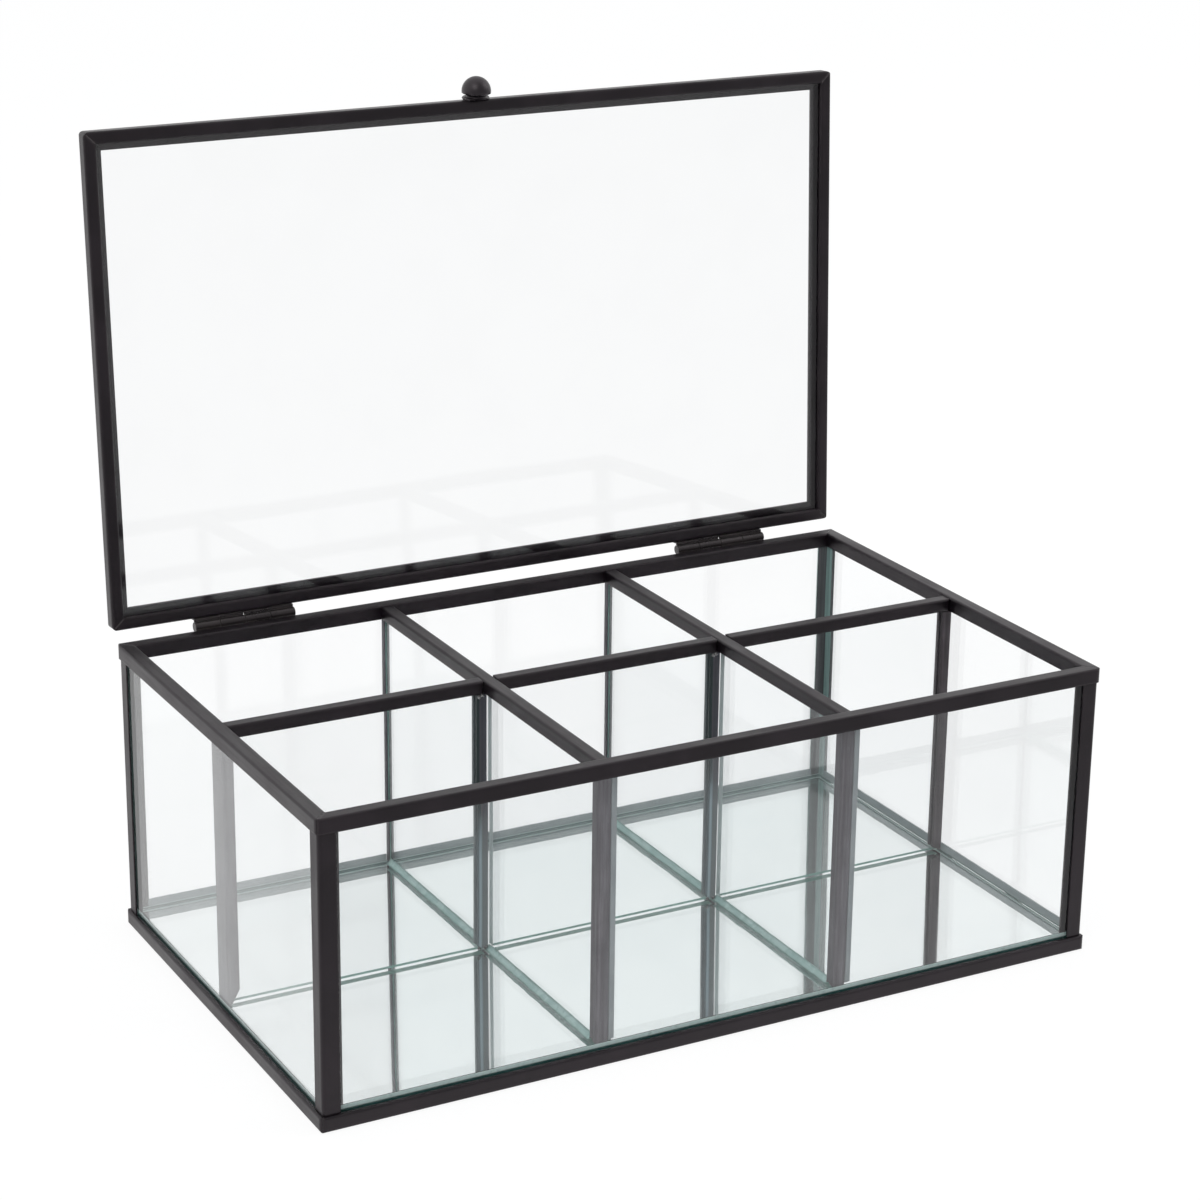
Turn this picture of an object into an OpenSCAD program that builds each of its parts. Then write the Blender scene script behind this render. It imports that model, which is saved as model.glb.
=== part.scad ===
// Glass tea bag organizer: a channel-framed glass box with six compartments and a
// hinged glass lid, drawn with the lid open at its stop.
// Origin: centre of the underside. X runs along the width, -Y is the front, +Z is up.

/* [Box] */
// Width over the top rails
box_w = 240; // [180:1:320]
// Depth over the top rails
box_d = 142; // [110:1:220]
// Height from the underside to the top of the rim
box_h = 87; // [60:1:140]
// Thickness of the wall, divider and lid panes
glass_t = 2.2; // [1.5:0.1:4]

/* [Rim and base rails] */
// Metal thickness of a top rail beside and above the pane
rail_wall = 1; // [0.7:0.05:1.5]
// Height of a top rail
rail_h = 4.2; // [3:0.1:7]
// How far a base rail stands out past the rim
base_lip = 0.3; // [0.1:0.1:1.5]
// Height of a base rail on the outside
base_h = 4.3; // [3.6:0.1:6]
// Thickness of a base rail's web under the pane
base_web = 0.9; // [0.5:0.1:1.5]
// Height of the ledge that carries the floor mirror
ledge_h = 3; // [1.8:0.1:3.4]
// Width of that ledge
ledge_w = 2.6; // [1.5:0.1:5]
// Plan radius of the rim, base and lid corners
corner_r = 1.6; // [1.2:0.1:2]
// Radius along the rails' long edges
edge_r = 0.6; // [0.2:0.05:0.65]

/* [Corner posts] */
// Metal thickness of a corner post's flanges
post_wall = 0.45; // [0.3:0.05:0.6]
// Width of a post's outer flanges
post_outer = 5; // [4.6:0.1:9]
// Width of a post's inner flanges, from the outside of the post
post_inner = 6.4; // [5.6:0.1:10]

/* [Floor] */
// Thickness of the floor mirror
mirror_t = 2.5; // [2:0.1:5]

/* [Dividers] */
// Distance between the centres of the two cross dividers
cross_pitch = 75; // [50:1:95]
// Distance of the long divider behind the middle of the box
long_shift = 0; // [-20:1:20]
// Metal thickness of a cap or strip beside the pane
strip_wall = 0.85; // [0.6:0.05:1.2]
// Metal thickness of a cap's or strip's web
strip_web = 0.8; // [0.6:0.1:1.2]
// Height of a divider cap
cap_h = 3.6; // [2.5:0.1:6]
// Drop of the divider caps below the rim
cap_drop = 0.4; // [0:0.1:2]
// Plan radius at the ends of the caps on the long divider
cap_end_r = 0.7; // [0.2:0.1:1]
// Depth of a strip on a wall or crossing
strip_d = 3.3; // [2.5:0.1:6]
// Depth of the slimmer strips on the back wall
slim_d = 1.9; // [1.6:0.1:3]
// Metal thickness of those slimmer strips beside the pane
slim_wall = 0.45; // [0.3:0.05:0.8]
// Metal thickness of the broad strip on the left wall beside the pane
broad_wall = 2.6; // [1.2:0.1:4]
// Height of the nip at a strip's foot
foot_nip = 1; // [0.4:0.1:2]
// Height of the nip at the broad strip's foot
broad_nip = 4.5; // [1:0.1:8]

/* [Lid] */
// Metal thickness of a lid rail
lid_wall = 1; // [0.7:0.05:1.5]
// Width of a lid rail on the underside
lid_inner_w = 3.6; // [2.6:0.1:6]
// Width of a lid rail on the top side
lid_outer_w = 5.6; // [3:0.1:9]
// Gap between the rim and the closed lid
lid_gap = 0.3; // [0.2:0.05:0.6]
// Angle at which the open lid leans on its stop
open_angle = 93; // [90:1:110]

/* [Knob] */
// Diameter of the knob's flat underside
knob_d = 9.6; // [6:0.2:14]
// Height of the knob's dome
knob_h = 3.8; // [2:0.1:4.5]
// Diameter of the knob's collar
collar_d = 7.4; // [4:0.1:9]
// Height of the collar between the lid's edge and the dome
collar_h = 2.9; // [1:0.1:5]
// Diameter of the solder fillet at the collar's foot
fillet_d = 8.4; // [5:0.1:11]
// Height of that fillet
fillet_h = 0.7; // [0.3:0.1:0.9]

/* [Hinges] */
// Distance between the centres of the two hinges
hinge_pitch = 160; // [90:1:200]
// Length of one hinge's barrel
hinge_len = 31; // [20:1:50]
// Distance of the hinge pins behind the back face
hinge_back = 2.4; // [2.2:0.05:3]
// Outer diameter of a hinge barrel
barrel_d = 2.8; // [2.6:0.1:3.2]
// Diameter of a hinge pin
pin_d = 1.4; // [1:0.1:1.6]
// Thickness of a hinge leaf
leaf_t = 0.5; // [0.3:0.05:0.6]
// Thickness of the tongues between a leaf and its knuckles
tongue_t = 0.9; // [0.6:0.05:1]
// Plan radius of a leaf's corners
leaf_r = 1; // [0.3:0.1:1.1]

/* [Fits] */
// Clearance on each side of a pane in its slot, and at the ends of seated pieces
seat_gap = 0.05; // [0.02:0.01:0.1]
// Radial clearance of a hinge pin in its bores
pin_gap = 0.05; // [0.02:0.01:0.1]
// Gap between neighbouring hinge knuckles
knuckle_gap = 0.25; // [0.1:0.05:0.5]
// Gap between the caps of the long divider and the caps they meet
cap_gap = 0.25; // [0.1:0.05:1]
// Gap between the knob's collar and the rim when the lid is closed
knob_gap = 0.3; // [0.2:0.05:0.6]

/* [Hidden] */
$fn = 48;

METAL = [0.18, 0.18, 0.19];
HINGE_METAL = [0.24, 0.24, 0.25];
STRIP_METAL = [0.36, 0.35, 0.36];
GLASS = [0.78, 0.92, 0.90, 0.35];
MIRROR = [0.72, 0.84, 0.84];

// Overlap that carries a cutting tool right through what it cuts
cut = 1;

// Wall panes, measured inwards from the outside of the top rails
slot_w = glass_t + 2 * seat_gap;
pane_out = rail_wall + seat_gap;
wall_end = rail_wall + slot_w;
rail_w = slot_w + 2 * rail_wall;
pane_low = base_web + seat_gap;
pane_top = box_h - rail_wall - seat_gap;

// Base rails, measured inwards from their own outside
base_flange = base_lip + rail_wall;
base_w = base_flange + slot_w + ledge_w;
floor_z = ledge_h + mirror_t;

// Corner posts, measured inwards from the outside of the top rails
post_in = rail_wall - post_wall;
post_core = wall_end - post_in;
post_low = base_h;
post_top = box_h - rail_h;
pane_end = wall_end + post_wall + seat_gap;

// Dividers
cross_x = cross_pitch / 2;
cap_w = slot_w + 2 * strip_wall;
cap_top = box_h - cap_drop;
cap_low = cap_top - cap_h;
strip_top = min(post_top, cap_low) - seat_gap;
crossing_top = cap_low - cap_gap;
divider_top = cap_top - strip_web - seat_gap;
rim_in = rail_w + seat_gap;
divider_end = max(wall_end + strip_web, rail_w) + seat_gap;
crossing_face = glass_t / 2 + seat_gap;
clear_of_cap = cap_w / 2 + seat_gap;
clear_of_strip = max(crossing_face + strip_web + seat_gap, clear_of_cap);

// Lid and hinges, placed on the closed box
lid_t = slot_w + 2 * lid_wall;
lid_z = box_h + lid_gap;
lid_w = max(lid_inner_w, lid_outer_w);
lid_in = lid_wall + seat_gap;
axis_y = box_d / 2 + hinge_back;
axis_z = box_h + lid_gap / 2;
barrel_r = barrel_d / 2;
bore_r = pin_d / 2 + pin_gap;
knuckle = (hinge_len - 3 * knuckle_gap) / 4;
tongue_high = barrel_r - seat_gap;
tongue_low = tongue_high - tongue_t;
box_leaf_w = rail_h - edge_r - tongue_low;
lid_leaf_w = lid_t + lid_gap / 2 - edge_r - tongue_low;

// Knob, a cap of this sphere
knob_r = (knob_d * knob_d / 4 + knob_h * knob_h) / (2 * knob_h);

// ---- outlines ----

// Rectangle with its corner on the origin and all four corners rounded
module rounded_rect(w, h, r) {
  translate([r, 0]) square([w - 2 * r, h]);
  translate([0, r]) square([w, h - 2 * r]);
  for (x = [r, w - r]) {
    for (y = [r, h - r]) {
      translate([x, y]) circle(r);
    }
  }
}

// Top rail: a channel open downwards, its outside at x = 0, rounded along its top edges
module top_rail_section() {
  difference() {
    union() {
      square([rail_w, rail_h / 2]);
      rounded_rect(rail_w, rail_h, edge_r);
    }
    translate([rail_wall, -cut]) square([slot_w, rail_h - rail_wall + cut]);
  }
}

// Base rail: outer flange, slot for the wall pane, and a ledge for the floor mirror
module base_rail_section() {
  difference() {
    union() {
      translate([0, edge_r]) square([base_flange, base_h - 2 * edge_r]);
      translate([edge_r, 0]) square([base_flange - edge_r, base_h]);
      translate([edge_r, edge_r]) circle(edge_r);
      translate([edge_r, base_h - edge_r]) circle(edge_r);
      translate([edge_r, 0]) square([base_w - edge_r, ledge_h]);
    }
    translate([base_flange, base_web]) square([slot_w, base_h]);
  }
}

// Lid rail: a channel on its side, outside at x = 0, underside at y = 0
module lid_rail_section() {
  difference() {
    union() {
      rounded_rect(lid_inner_w, lid_t, edge_r);
      translate([2 * edge_r, lid_t - lid_wall]) square([lid_outer_w - 2 * edge_r, lid_wall]);
    }
    translate([lid_wall, lid_wall]) square([lid_w, slot_w]);
  }
}

// Channel round a divider pane: open towards -y, the back of its web on y = 0
module channel_section(wall, depth) {
  w = slot_w + 2 * wall;
  r = min(edge_r, strip_web, wall);
  difference() {
    translate([-w / 2, -depth]) union() {
      square([w, depth / 2]);
      rounded_rect(w, depth, r);
    }
    translate([-slot_w / 2, -depth - cut]) square([slot_w, depth - strip_web + cut]);
  }
}

// Corner post in plan, its outer corner on the origin
module post_section() {
  round_r = corner_r - post_in;
  difference() {
    union() {
      square([post_outer, post_wall]);
      square([post_wall, post_outer]);
      square(post_core);
    }
    difference() {
      translate([-cut, -cut]) square(round_r + cut);
      translate([round_r, round_r]) circle(round_r);
    }
  }
}

// The post's inner flanges, which stand on the floor mirror
module post_inner_section() {
  translate([post_core - cut, post_core]) square([post_inner - post_core + cut, post_wall]);
  translate([post_core, post_core - cut]) square([post_wall, post_inner - post_core + cut]);
}

// ---- shared solids ----

// Front side of a frame w by d: the section in children() along X, mitred at both ends
module frame_side(w, d, width, height) {
  intersection() {
    translate([-w / 2, -d / 2, 0]) rotate([90, 0, 90]) linear_extrude(w) children();
    translate([0, 0, -cut]) linear_extrude(height + 2 * cut) intersection() {
      polygon([
        [-w / 2, -d / 2],
        [w / 2, -d / 2],
        [w / 2 - width, -d / 2 + width],
        [-w / 2 + width, -d / 2 + width]
      ]);
      translate([-w / 2, -d / 2]) rounded_rect(w, d, corner_r);
    }
  }
}

module top_rail(w, d) {
  color(METAL)
    translate([0, 0, box_h - rail_h])
      frame_side(w, d, rail_w, rail_h) top_rail_section();
}

module bottom_rail(w, d) {
  color(METAL)
    frame_side(w + 2 * base_lip, d + 2 * base_lip, base_w, base_h) base_rail_section();
}

// Post at the front left corner of a box w by d
module corner_post(w, d) {
  color(METAL)
    translate([-w / 2 + post_in, -d / 2 + post_in, 0]) {
      translate([0, 0, post_low]) linear_extrude(post_top - post_low) post_section();
      translate([0, 0, floor_z]) linear_extrude(post_top - floor_z) intersection() {
        post_inner_section();
        square(post_inner);
      }
    }
}

// Wall pane on the front of a box w by d
module wall_pane(w, d) {
  color(GLASS)
    translate([-w / 2 + pane_end, -d / 2 + pane_out, pane_low])
      cube([w - 2 * pane_end, glass_t, pane_top - pane_low]);
}

// Upright divider pane along X, between two distances from the middle
module long_pane(x0, x1) {
  color(GLASS)
    translate([x0, long_shift - glass_t / 2, floor_z])
      cube([x1 - x0, glass_t, divider_top - floor_z]);
}

module cross_pane(x) {
  color(GLASS)
    translate([x - glass_t / 2, -box_d / 2 + divider_end, floor_z])
      cube([glass_t, box_d - 2 * divider_end, divider_top - floor_z]);
}

// Cap over a cross divider, running between the front and back rails
module cross_cap(x) {
  length = box_d - 2 * rim_in;
  color(METAL)
    translate([x, length / 2, cap_top])
      rotate([90, 0, 0]) linear_extrude(length) channel_section(strip_wall, cap_h);
}

// Cap over one stretch of the long divider, its ends rounded in plan
module long_cap(x0, x1) {
  length = x1 - x0;
  color(METAL)
    translate([x0, long_shift, 0]) intersection() {
      translate([0, 0, cap_top])
        rotate([90, 0, 90]) linear_extrude(length) channel_section(strip_wall, cap_h);
      translate([0, -cap_w / 2, cap_low - cut])
        linear_extrude(cap_h + 2 * cut) rounded_rect(length, cap_w, cap_end_r);
    }
}

// Upright strip: web against y = 0, open towards -y, its flanges nipped at the foot
module strip(wall, depth, nip, top = strip_top) {
  w = slot_w + 2 * wall;
  slope = nip / (depth - strip_web);
  translate([0, 0, floor_z]) difference() {
    linear_extrude(top - floor_z) channel_section(wall, depth);
    translate([-w / 2 - cut, 0, 0]) rotate([90, 0, 90]) linear_extrude(w + 2 * cut) polygon([
      [-strip_web, 0],
      [-strip_web, -cut],
      [-depth - cut, -cut],
      [-depth - cut, slope * (depth - strip_web + cut)]
    ]);
  }
}

// Strip on the front wall at x, open towards the back
module front_strip(x) {
  color(STRIP_METAL)
    translate([x, -box_d / 2 + wall_end, 0]) rotate(180) strip(strip_wall, strip_d, foot_nip);
}

module back_strip(x) {
  color(STRIP_METAL)
    translate([x, box_d / 2 - wall_end, 0]) strip(slim_wall, slim_d, foot_nip);
}

// Strip on the left face of the cross divider at x, open towards the left
module crossing_strip(x) {
  color(STRIP_METAL)
    translate([x - crossing_face, long_shift, 0])
      rotate(-90) strip(strip_wall, strip_d, foot_nip, crossing_top);
}

// Side of the lid, drawn closed on a lid w by d
module lid_rail(w, d) {
  color(METAL)
    translate([0, 0, lid_z]) frame_side(w, d, lid_w, lid_t) lid_rail_section();
}

// Turns what is drawn closed to the open position
module opened() {
  translate([0, axis_y, axis_z])
    rotate([-open_angle, 0, 0])
      translate([0, -axis_y, -axis_z]) children();
}

// Knuckle number i of a hinge centred on x, with its tongue above or below the pin
module knuckle(x, i, side) {
  start = x - hinge_len / 2 + i * (knuckle + knuckle_gap);
  z0 = side > 0 ? tongue_low : -tongue_high;
  translate([start, axis_y, axis_z]) difference() {
    union() {
      rotate([0, 90, 0]) cylinder(h = knuckle, r = barrel_r);
      translate([0, -hinge_back + leaf_t / 2, z0])
        cube([knuckle, hinge_back - leaf_t / 2, tongue_t]);
    }
    translate([-cut, 0, 0]) rotate([0, 90, 0]) cylinder(h = knuckle + 2 * cut, r = bore_r);
  }
}

// Flat leaf on the back face, its corner at x and z
module leaf(x, z, h) {
  r = min(leaf_r, h / 2 - seat_gap);
  translate([x, box_d / 2 + leaf_t, z])
    rotate([90, 0, 0]) linear_extrude(leaf_t) rounded_rect(hinge_len, h, r);
}

module hinge_box_leaf(x) {
  color(HINGE_METAL) union() {
    leaf(x - hinge_len / 2, axis_z - tongue_low - box_leaf_w, box_leaf_w);
    knuckle(x, 0, -1);
    knuckle(x, 2, -1);
  }
}

module hinge_lid_leaf(x) {
  color(HINGE_METAL) opened() union() {
    leaf(x - hinge_len / 2, axis_z + tongue_low, lid_leaf_w);
    knuckle(x, 1, 1);
    knuckle(x, 3, 1);
  }
}

module hinge_pin(x) {
  color(HINGE_METAL)
    translate([x - hinge_len / 2, axis_y, axis_z])
      rotate([0, 90, 0]) cylinder(h = hinge_len, r = pin_d / 2);
}

// ---- the pieces ----

module bottom_rail_front() { bottom_rail(box_w, box_d); }
module bottom_rail_back() { rotate(180) bottom_rail(box_w, box_d); }
module bottom_rail_left() { rotate(-90) bottom_rail(box_d, box_w); }
module bottom_rail_right() { rotate(90) bottom_rail(box_d, box_w); }

module top_rail_front() { top_rail(box_w, box_d); }
module top_rail_back() { rotate(180) top_rail(box_w, box_d); }
module top_rail_left() { rotate(-90) top_rail(box_d, box_w); }
module top_rail_right() { rotate(90) top_rail(box_d, box_w); }

module corner_post_front_left() { corner_post(box_w, box_d); }
module corner_post_front_right() { rotate(90) corner_post(box_d, box_w); }
module corner_post_back_left() { rotate(-90) corner_post(box_d, box_w); }
module corner_post_back_right() { rotate(180) corner_post(box_w, box_d); }

module glass_wall_front() { wall_pane(box_w, box_d); }
module glass_wall_back() { rotate(180) wall_pane(box_w, box_d); }
module glass_wall_left() { rotate(-90) wall_pane(box_d, box_w); }
module glass_wall_right() { rotate(90) wall_pane(box_d, box_w); }

module floor_mirror() {
  color(MIRROR)
    translate([-box_w / 2 + wall_end, -box_d / 2 + wall_end, ledge_h])
      cube([box_w - 2 * wall_end, box_d - 2 * wall_end, mirror_t]);
}

module cross_divider_glass_left() { cross_pane(-cross_x); }
module cross_divider_glass_right() { cross_pane(cross_x); }

module long_divider_glass_left() {
  long_pane(-box_w / 2 + divider_end, -cross_x - clear_of_strip);
}
module long_divider_glass_middle() {
  long_pane(-cross_x + clear_of_cap, cross_x - clear_of_strip);
}
module long_divider_glass_right() {
  long_pane(cross_x + clear_of_cap, box_w / 2 - divider_end);
}

module cross_divider_cap_left() { cross_cap(-cross_x); }
module cross_divider_cap_right() { cross_cap(cross_x); }

module long_divider_cap_left() {
  long_cap(-box_w / 2 + rim_in, -cross_x - cap_w / 2 - cap_gap);
}
module long_divider_cap_middle() {
  long_cap(-cross_x + cap_w / 2 + cap_gap, cross_x - cap_w / 2 - cap_gap);
}
module long_divider_cap_right() {
  long_cap(cross_x + cap_w / 2 + cap_gap, box_w / 2 - rim_in);
}

module cross_strip_front_left() { front_strip(-cross_x); }
module cross_strip_front_right() { front_strip(cross_x); }
module cross_strip_back_left() { back_strip(-cross_x); }
module cross_strip_back_right() { back_strip(cross_x); }

module long_strip_wall_left() {
  color(STRIP_METAL)
    translate([-box_w / 2 + wall_end, long_shift, 0])
      rotate(90) strip(broad_wall, strip_d, broad_nip);
}
module long_strip_wall_right() {
  color(STRIP_METAL)
    translate([box_w / 2 - wall_end, long_shift, 0])
      rotate(-90) strip(strip_wall, strip_d, foot_nip);
}
module long_strip_crossing_left() { crossing_strip(-cross_x); }
module long_strip_crossing_right() { crossing_strip(cross_x); }

module lid_rail_front() { opened() lid_rail(box_w, box_d); }
module lid_rail_back() { opened() rotate(180) lid_rail(box_w, box_d); }
module lid_rail_left() { opened() rotate(-90) lid_rail(box_d, box_w); }
module lid_rail_right() { opened() rotate(90) lid_rail(box_d, box_w); }

module lid_glass() {
  color(GLASS)
    opened()
      translate([-box_w / 2 + lid_in, -box_d / 2 + lid_in, lid_z + lid_in])
        cube([box_w - 2 * lid_in, box_d - 2 * lid_in, glass_t]);
}

// Dome on the lid's front edge, flat side towards the lid
module knob_dome() {
  color(METAL)
    opened()
      translate([0, -box_d / 2 - collar_h, lid_z + lid_t / 2]) rotate([90, 0, 0])
        intersection() {
          translate([0, 0, knob_h - knob_r]) sphere(knob_r);
          cylinder(h = 2 * knob_r, r = knob_r + cut);
        }
}

// Collar with its solder fillet, relieved where it hangs in front of the rim
module knob_collar() {
  color(METAL)
    opened() difference() {
      translate([0, -box_d / 2, lid_z + lid_t / 2]) rotate([90, 0, 0]) union() {
        cylinder(h = collar_h, r = collar_d / 2);
        cylinder(h = fillet_h, r1 = fillet_d / 2, r2 = collar_d / 2);
      }
      translate([-fillet_d, -box_d / 2 - knob_gap, lid_z - fillet_d])
        cube([2 * fillet_d, knob_gap + cut, fillet_d]);
    }
}

module hinge_box_leaf_left() { hinge_box_leaf(-hinge_pitch / 2); }
module hinge_box_leaf_right() { hinge_box_leaf(hinge_pitch / 2); }
module hinge_lid_leaf_left() { hinge_lid_leaf(-hinge_pitch / 2); }
module hinge_lid_leaf_right() { hinge_lid_leaf(hinge_pitch / 2); }
module hinge_pin_left() { hinge_pin(-hinge_pitch / 2); }
module hinge_pin_right() { hinge_pin(hinge_pitch / 2); }

bottom_rail_front();
bottom_rail_back();
bottom_rail_left();
bottom_rail_right();
top_rail_front();
top_rail_back();
top_rail_left();
top_rail_right();
corner_post_front_left();
corner_post_front_right();
corner_post_back_left();
corner_post_back_right();
glass_wall_front();
glass_wall_back();
glass_wall_left();
glass_wall_right();
floor_mirror();
cross_divider_glass_left();
cross_divider_glass_right();
long_divider_glass_left();
long_divider_glass_middle();
long_divider_glass_right();
cross_divider_cap_left();
cross_divider_cap_right();
long_divider_cap_left();
long_divider_cap_middle();
long_divider_cap_right();
cross_strip_front_left();
cross_strip_front_right();
cross_strip_back_left();
cross_strip_back_right();
long_strip_wall_left();
long_strip_wall_right();
long_strip_crossing_left();
long_strip_crossing_right();
lid_rail_front();
lid_rail_back();
lid_rail_left();
lid_rail_right();
lid_glass();
knob_dome();
knob_collar();
hinge_box_leaf_left();
hinge_box_leaf_right();
hinge_lid_leaf_left();
hinge_lid_leaf_right();
hinge_pin_left();
hinge_pin_right();
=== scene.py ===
import math
import random
import bpy
import bmesh
from mathutils import Matrix, Vector


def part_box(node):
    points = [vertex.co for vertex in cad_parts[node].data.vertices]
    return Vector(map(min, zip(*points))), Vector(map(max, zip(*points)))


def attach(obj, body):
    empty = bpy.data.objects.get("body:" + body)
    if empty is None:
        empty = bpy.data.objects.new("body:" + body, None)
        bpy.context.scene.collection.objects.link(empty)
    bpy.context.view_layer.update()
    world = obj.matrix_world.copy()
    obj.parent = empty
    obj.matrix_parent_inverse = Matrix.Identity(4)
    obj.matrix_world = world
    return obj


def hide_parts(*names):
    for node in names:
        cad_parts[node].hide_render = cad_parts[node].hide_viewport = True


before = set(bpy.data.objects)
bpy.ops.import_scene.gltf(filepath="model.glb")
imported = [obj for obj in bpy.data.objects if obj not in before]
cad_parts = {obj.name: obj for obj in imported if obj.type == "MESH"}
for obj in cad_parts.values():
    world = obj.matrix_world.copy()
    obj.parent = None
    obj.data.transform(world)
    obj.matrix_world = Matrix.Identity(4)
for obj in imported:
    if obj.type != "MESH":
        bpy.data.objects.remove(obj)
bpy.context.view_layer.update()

MM = 0.001

# Sizes of the CAD model that the new pieces are placed by, in millimetres
HALF_W, HALF_D = 120.0, 71.0
DIVIDERS_X = (-37.5, 37.5)
MIRROR_TOP = 5.5
RIM_SEAM_Z = 86.98
LID_UNDER_Z, LID_OVER_Z = 87.32, 91.58
LID_AXIS_Y, LID_AXIS_Z = 73.4, 87.15
KNUCKLE_GAP = 0.25
# The lid's turn from closed to the rest pose, and how far the knob leans to the front there
OPEN = math.radians(-93.0)
KNOB_TILT = math.radians(3.0)


# ---------------------------------------------------------------- node helpers

class Tree:
    """A short way to write the nodes of a material or a world."""

    def __init__(self, owner, output="ShaderNodeOutputMaterial"):
        owner.use_nodes = True
        self.nt = owner.node_tree
        self.nt.nodes.clear()
        self.out = self.add(output)

    def add(self, kind, **props):
        node = self.nt.nodes.new(kind)
        for key, value in props.items():
            setattr(node, key, value)
        return node

    def put(self, socket, value):
        """Links another node's output to the socket, or sets the socket's own value."""
        if isinstance(value, bpy.types.NodeSocket):
            self.nt.links.new(value, socket)
        else:
            socket.default_value = value

    def coords(self, scale=(1, 1, 1), offset=(0, 0, 0)):
        tc = self.add("ShaderNodeTexCoord")
        mp = self.add("ShaderNodeMapping")
        self.put(mp.inputs["Vector"], tc.outputs["Object"])
        mp.inputs["Scale"].default_value = scale
        mp.inputs["Location"].default_value = offset
        return mp.outputs["Vector"]

    def split(self, vector):
        node = self.add("ShaderNodeSeparateXYZ")
        self.put(node.inputs[0], vector)
        return node.outputs

    def facing_axes(self):
        """X, Y and Z of the direction that a face looks in, on the piece itself."""
        return self.split(self.add("ShaderNodeTexCoord").outputs["Normal"])

    def noise(self, vec, scale, detail=3.0, rough=0.5, distortion=0.0):
        node = self.add("ShaderNodeTexNoise")
        self.put(node.inputs["Vector"], vec)
        node.inputs["Scale"].default_value = scale
        node.inputs["Detail"].default_value = detail
        node.inputs["Roughness"].default_value = rough
        node.inputs["Distortion"].default_value = distortion
        return node.outputs["Fac"]

    def span(self, value, a, b, c, d):
        """A value from a..b, moved smoothly to c..d."""
        node = self.add("ShaderNodeMapRange", interpolation_type="SMOOTHSTEP")
        self.put(node.inputs["Value"], value)
        for socket, v in zip(("From Min", "From Max", "To Min", "To Max"), (a, b, c, d)):
            node.inputs[socket].default_value = v
        return node.outputs["Result"]

    def rise(self, value, a, b):
        """0 where the value is under a, 1 where it is over b."""
        return self.span(value, a, b, 0.0, 1.0)

    def math(self, op, a, b=0.5):
        node = self.add("ShaderNodeMath", operation=op)
        self.put(node.inputs[0], a)
        self.put(node.inputs[1], b)
        return node.outputs[0]

    def weigh(self, a, share_a, b, share_b):
        return self.math("ADD", self.math("MULTIPLY", a, share_a),
                         self.math("MULTIPLY", b, share_b))

    def mix(self, fac, a, b, **props):
        node = self.add("ShaderNodeMix", data_type="RGBA", **props)
        self.put(node.inputs[0], fac)
        self.put(node.inputs[6], a)
        self.put(node.inputs[7], b)
        return node.outputs[2]

    def mix_shader(self, fac, a, b):
        node = self.add("ShaderNodeMixShader")
        for i, value in enumerate((fac, a, b)):
            self.put(node.inputs[i], value)
        return node.outputs[0]

    def bump(self, height, strength, distance, normal=None):
        node = self.add("ShaderNodeBump")
        node.inputs["Strength"].default_value = strength
        node.inputs["Distance"].default_value = distance
        self.put(node.inputs["Height"], height)
        if normal is not None:
            self.put(node.inputs["Normal"], normal)
        return node.outputs["Normal"]

    def bevel(self, radius):
        node = self.add("ShaderNodeBevel", samples=4)
        node.inputs["Radius"].default_value = radius
        return node.outputs["Normal"]

    def principled(self, colour, roughness, normal, **fixed):
        """A Principled shader. fixed gives the sockets with one value, _ for a space."""
        node = self.add("ShaderNodeBsdfPrincipled")
        self.put(node.inputs["Base Color"], colour)
        self.put(node.inputs["Roughness"], roughness)
        self.put(node.inputs["Normal"], normal)
        for key, value in fixed.items():
            node.inputs[key.replace("_", " ")].default_value = value
        return node.outputs[0]

    def finish(self, shader):
        self.put(self.out.inputs["Surface"], shader)


def new_material(name):
    mat = bpy.data.materials.new(name)
    return mat, Tree(mat)


def rgb(r, g, b):
    return (r, g, b, 1.0)


def scaled(colour, k, more=0.0):
    return rgb(*[min(1.0, c * k + more) for c in colour])


# How the coordinates are drawn out for streaks that run along an axis
ALONG = {"x": (0.06, 1, 1), "y": (1, 0.06, 1), "z": (1, 1, 0.06), "": (1, 1, 1)}


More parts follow.
